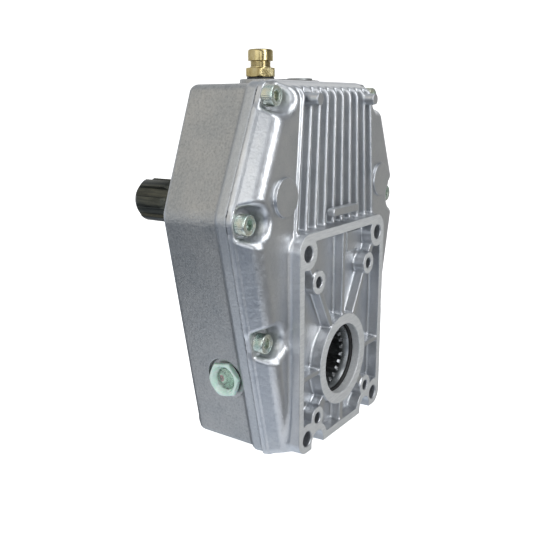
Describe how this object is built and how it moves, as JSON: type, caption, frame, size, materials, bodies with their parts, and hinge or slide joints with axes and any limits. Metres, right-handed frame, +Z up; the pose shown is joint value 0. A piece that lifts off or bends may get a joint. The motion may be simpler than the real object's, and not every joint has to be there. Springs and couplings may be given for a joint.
{
  "type": "pump drive gearbox",
  "caption": "Cast two-part gearbox with a splined input shaft at the back and a hollow splined pinion behind a square ribbed pump plate at the front.",
  "frame": {"origin": "middle of the base, at the height of the feet and halfway along the overall length", "axes": "+Z up, -Y out of the pump plate, +Y along the input shaft, +X to the right as seen from the pump plate"},
  "size_m": [0.2028, 0.189, 0.2688],
  "materials": {
    "cast_rear": "sand cast, matt",
    "cast_front": "cast, bright",
    "gasket_paper": "dark gasket paper",
    "zinc_plate": "yellowish zinc plate",
    "bearing_steel": "ground and polished",
    "rubber": "black rubber",
    "brass": "turned brass",
    "oiled_steel": "dark oiled steel",
    "pale_green_plastic": "translucent pale green plastic",
    "clear_plastic": "clear moulded plastic",
    "level_disc": "pale disc with a red centre",
    "copper": "copper washer",
    "gear_steel": "machined, oiled"
  },
  "bodies": {
    "housing": {"rear_housing": "cast_rear", "front_cover": "cast_front", "housing_gasket": "gasket_paper", "cover_screw_1": "zinc_plate", "cover_screw_2": "zinc_plate", "cover_screw_3": "zinc_plate", "cover_screw_4": "zinc_plate", "cover_screw_5": "zinc_plate", "cover_screw_6": "zinc_plate", "cover_screw_7": "zinc_plate", "cover_screw_8": "zinc_plate", "dowel_pin_left": "bearing_steel", "dowel_pin_right": "bearing_steel", "breather_washer": "rubber", "breather_body": "brass", "breather_cap": "brass", "filler_plug": "oiled_steel", "sight_glass_seal": "rubber", "sight_glass_body": "pale_green_plastic", "sight_glass_window": "clear_plastic", "sight_glass_reflector": "level_disc", "drain_plug_washer": "copper", "drain_plug": "oiled_steel", "input_seal": "rubber", "output_seal": "rubber", "input_front_outer_race": "bearing_steel", "input_rear_outer_race": "bearing_steel", "output_front_outer_race": "bearing_steel", "output_rear_outer_race": "bearing_steel"},
    "input_rotor": {"input_shaft": "oiled_steel", "drive_gear": "gear_steel", "shaft_key": "gear_steel", "gear_spacer": "gear_steel", "shaft_circlip": "oiled_steel", "input_front_inner_race": "bearing_steel", "input_rear_inner_race": "bearing_steel"},
    "output_rotor": {"output_pinion": "gear_steel", "output_front_inner_race": "bearing_steel", "output_rear_inner_race": "bearing_steel"},
    "input_front_balls": {"input_front_ball_cage": "bearing_steel"},
    "input_rear_balls": {"input_rear_ball_cage": "bearing_steel"},
    "output_front_balls": {"output_front_ball_cage": "bearing_steel"},
    "output_rear_balls": {"output_rear_ball_cage": "bearing_steel"}
  },
  "joints": [
    {"name": "input_spin", "type": "hinge", "parent": "housing", "child": "input_rotor", "pos_m": [0, 0.001, 0.1575], "axis": [0, 1, 0], "continuous": true},
    {"name": "output_spin", "type": "hinge", "parent": "housing", "child": "output_rotor", "pos_m": [0, -0.048, 0.0555], "axis": [0, 1, 0], "continuous": true},
    {"name": "input_front_balls_spin", "type": "hinge", "parent": "housing", "child": "input_front_balls", "pos_m": [0, -0.0702, 0.1575], "axis": [0, 1, 0], "continuous": true},
    {"name": "input_rear_balls_spin", "type": "hinge", "parent": "housing", "child": "input_rear_balls", "pos_m": [0, -0.025, 0.1575], "axis": [0, 1, 0], "continuous": true},
    {"name": "output_front_balls_spin", "type": "hinge", "parent": "housing", "child": "output_front_balls", "pos_m": [0, -0.0727, 0.0555], "axis": [0, 1, 0], "continuous": true},
    {"name": "output_rear_balls_spin", "type": "hinge", "parent": "housing", "child": "output_rear_balls", "pos_m": [0, -0.0255, 0.0555], "axis": [0, 1, 0], "continuous": true}
  ],
  "couplings": [
    {"joint": "output_spin", "follows": "input_spin", "ratio": -1.9565},
    {"joint": "input_front_balls_spin", "follows": "input_spin", "ratio": 0.41765},
    {"joint": "input_rear_balls_spin", "follows": "input_spin", "ratio": 0.40333},
    {"joint": "output_front_balls_spin", "follows": "input_spin", "ratio": -0.85184},
    {"joint": "output_rear_balls_spin", "follows": "input_spin", "ratio": -0.85184}
  ]
}
